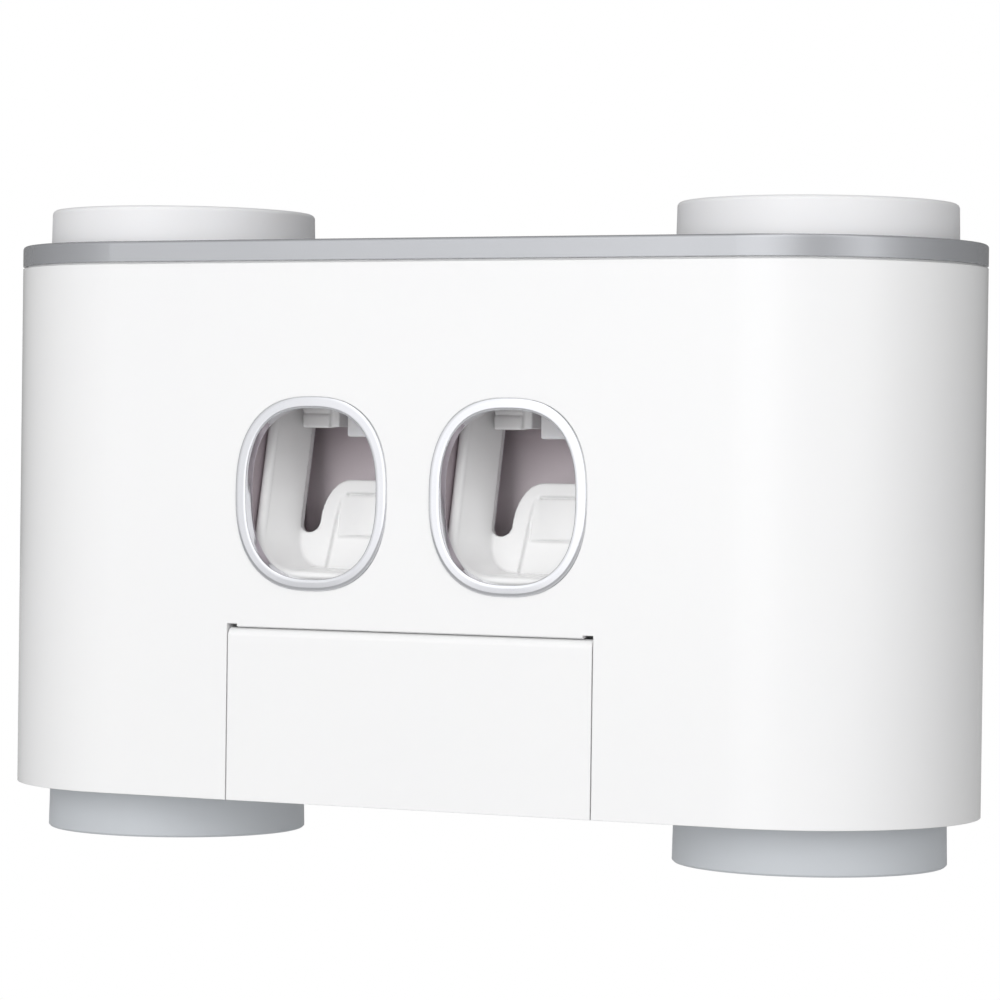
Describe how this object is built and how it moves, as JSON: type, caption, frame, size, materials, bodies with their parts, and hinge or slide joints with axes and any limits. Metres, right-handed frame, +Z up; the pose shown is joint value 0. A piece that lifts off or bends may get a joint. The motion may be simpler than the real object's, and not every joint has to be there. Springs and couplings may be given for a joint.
{
  "type": "toothpaste dispenser",
  "caption": "Wall-mounted toothpaste dispenser with hands-free squeezers behind oval windows, inverted rinsing cups and a flap-covered toothbrush rack.",
  "frame": {"origin": "centre of the wall bracket's wall plane, in the middle of the body's width and halfway up its height", "axes": "+X along the wall to the viewer's right, +Y into the wall, so -Y is the front, +Z up"},
  "size_m": [0.298, 0.1045, 0.185],
  "materials": {
    "bracket_steel": "satin",
    "white_shell": "glossy",
    "grey_tray": "satin",
    "white_cup": "satin",
    "grey_cup": "matte",
    "grey_well": "matte",
    "chrome_ring": "polished",
    "mauve_casing": "matte",
    "white_lever": "glossy",
    "silicone": "matte",
    "steel_parts": "brushed"
  },
  "bodies": {
    "bracket": {"wall_bracket": "bracket_steel"},
    "body": {"rear_frame": "white_shell", "front_cover": "white_shell", "top_tray": "grey_tray", "bottom_cover": "white_shell", "brush_bay": "white_shell", "brush_rack": "white_shell", "flap_pins": "steel_parts", "shell_screws": "steel_parts", "casing_screws": "steel_parts", "bottom_screws": "steel_parts", "cup_well_left": "grey_well", "cup_well_right": "grey_well", "cup_magnet_left": "steel_parts", "cup_magnet_right": "steel_parts", "magnet_plug_left": "grey_well", "magnet_plug_right": "grey_well", "window_ring_left": "chrome_ring", "squeezer_casing_left": "mauve_casing", "inner_panel_left": "mauve_casing", "tube_bay_left": "mauve_casing", "pivot_pins_left": "steel_parts", "manifold_left": "white_lever", "nozzle_left": "silicone", "tube_seat_left": "silicone", "paste_hose_left": "silicone", "pump_base_left": "white_lever", "pump_bellows_left": "silicone", "return_spring_left": "steel_parts", "window_ring_right": "chrome_ring", "squeezer_casing_right": "mauve_casing", "inner_panel_right": "mauve_casing", "tube_bay_right": "mauve_casing", "pivot_pins_right": "steel_parts", "manifold_right": "white_lever", "nozzle_right": "silicone", "tube_seat_right": "silicone", "paste_hose_right": "silicone", "pump_base_right": "white_lever", "pump_bellows_right": "silicone", "return_spring_right": "steel_parts"},
    "top_cup_left": {"top_cup_left": "white_cup"},
    "top_cup_right": {"top_cup_right": "white_cup"},
    "low_cup_left": {"low_cup_left": "grey_cup", "low_cup_disc_left": "steel_parts"},
    "low_cup_right": {"low_cup_right": "grey_cup", "low_cup_disc_right": "steel_parts"},
    "flap": {"flap_door": "white_shell"},
    "lever_left": {"push_lever_left": "white_lever"},
    "lever_right": {"push_lever_right": "white_lever"}
  },
  "joints": [
    {"name": "body_lift", "type": "slide", "parent": "bracket", "child": "body", "axis": [0, 0, 1], "range_m": [0, 0.014]},
    {"name": "flap_hinge", "type": "hinge", "parent": "body", "child": "flap", "pos_m": [0, -0.1015, -0.0331], "axis": [-1, 0, 0], "range_deg": [0, 90]},
    {"name": "lever_hinge_left", "type": "hinge", "parent": "body", "child": "lever_left", "pos_m": [-0.0305, -0.0714, 0.0374], "axis": [1, 0, 0], "range_deg": [0, 13.5], "stiffness_Nm_per_rad": 0.5, "springref_deg": -14.32, "deforming": ["pump_bellows_left", "return_spring_left"]},
    {"name": "top_cup_lift_left", "type": "slide", "parent": "body", "child": "top_cup_left", "axis": [0, 0, 1], "range_m": [0, 0.09]},
    {"name": "low_cup_pull_left", "type": "slide", "parent": "body", "child": "low_cup_left", "axis": [0, 0, -1], "range_m": [0, 0.09]},
    {"name": "lever_hinge_right", "type": "hinge", "parent": "body", "child": "lever_right", "pos_m": [0.0305, -0.0714, 0.0374], "axis": [1, 0, 0], "range_deg": [0, 13.5], "stiffness_Nm_per_rad": 0.5, "springref_deg": -14.32, "deforming": ["pump_bellows_right", "return_spring_right"]},
    {"name": "top_cup_lift_right", "type": "slide", "parent": "body", "child": "top_cup_right", "axis": [0, 0, 1], "range_m": [0, 0.09]},
    {"name": "low_cup_pull_right", "type": "slide", "parent": "body", "child": "low_cup_right", "axis": [0, 0, -1], "range_m": [0, 0.09]}
  ]
}
